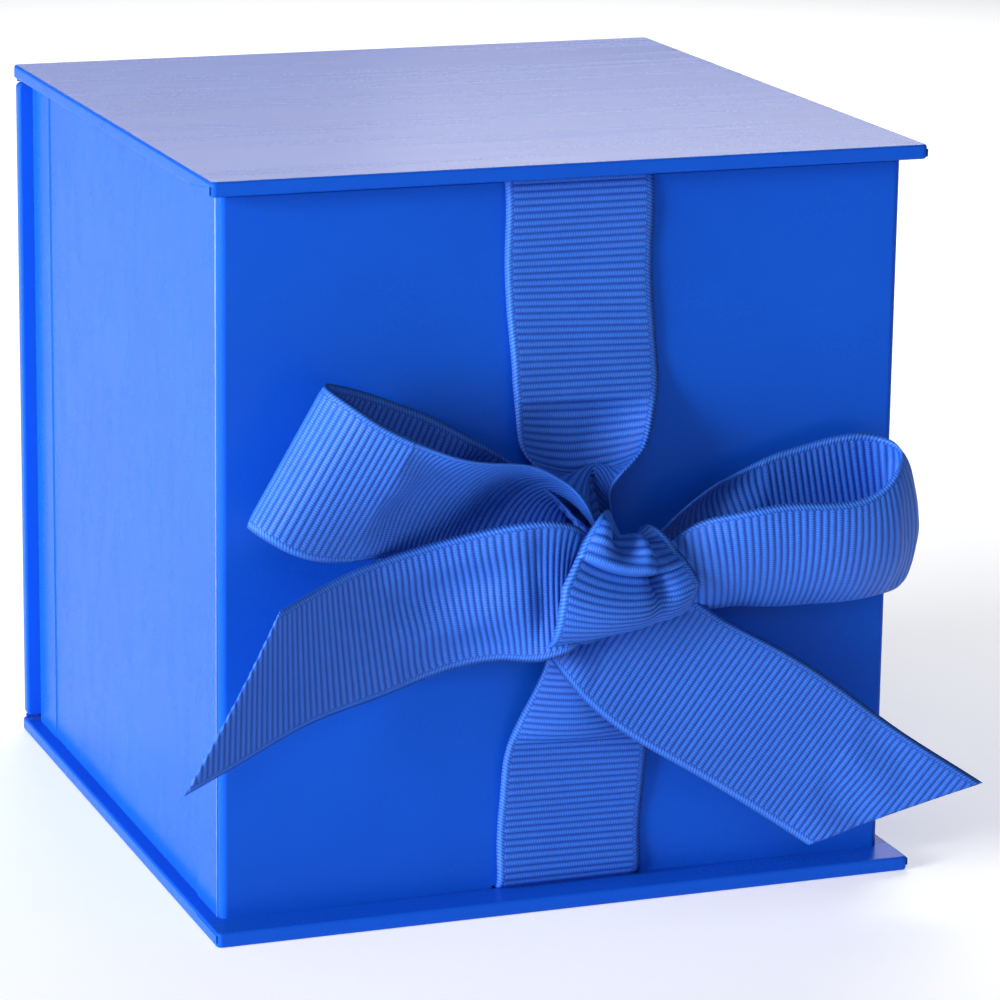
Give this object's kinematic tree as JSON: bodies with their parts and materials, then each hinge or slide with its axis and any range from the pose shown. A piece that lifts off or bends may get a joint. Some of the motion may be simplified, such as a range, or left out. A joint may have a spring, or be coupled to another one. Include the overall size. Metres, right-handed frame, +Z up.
{
  "type": "ribbon-tied gift box",
  "caption": "Small rigid box with a book-style hinged lid, covered in blue paper and tied shut at the front with a grosgrain ribbon bow.",
  "frame": {"origin": "centre of the base's underside, on the table", "axes": "+Z up, -Y out of the front that carries the bow, +X to the right seen from the front"},
  "size_m": [0.1355, 0.1267, 0.122],
  "materials": {
    "covering_paper": "satin laminated blue paper",
    "lining_paper": "matt blue uncoated paper",
    "greyboard": "dense recycled greyboard, matt",
    "grosgrain_ribbon": "ribbed polyester grosgrain with a corded edge"
  },
  "bodies": {
    "box": {"base_board": "greyboard", "spine_board": "greyboard", "tray_floor_board": "greyboard", "tray_front_board": "greyboard", "tray_back_board": "greyboard", "tray_left_board": "greyboard", "tray_right_board": "greyboard", "base_wrap": "covering_paper", "spine_wrap": "covering_paper", "tray_front_wrap": "covering_paper", "tray_back_wrap": "covering_paper", "tray_left_wrap": "covering_paper", "tray_right_wrap": "covering_paper", "tray_wall_liner": "lining_paper", "tray_floor_liner": "lining_paper", "lower_ribbon_tab": "grosgrain_ribbon", "lower_ribbon": "grosgrain_ribbon"},
    "lid": {"lid_board": "greyboard", "lid_wrap": "covering_paper", "lid_liner": "lining_paper", "upper_ribbon_tab": "grosgrain_ribbon"},
    "bow": {"upper_ribbon": "grosgrain_ribbon", "knot": "grosgrain_ribbon", "left_loop_rear": "grosgrain_ribbon", "left_loop_front": "grosgrain_ribbon", "right_loop_rear": "grosgrain_ribbon", "right_loop_front": "grosgrain_ribbon", "left_tail": "grosgrain_ribbon", "right_tail": "grosgrain_ribbon"}
  },
  "joints": [
    {"name": "lid_hinge", "type": "hinge", "parent": "box", "child": "lid", "pos_m": [0, 0.061, 0.1193], "axis": [-1, 0, 0], "range_deg": [0, 180]},
    {"name": "ribbon_bend", "type": "hinge", "parent": "lid", "child": "bow", "pos_m": [0.0015, -0.0544, 0.1186], "axis": [-1, 0, 0], "range_deg": [0, 88]}
  ]
}
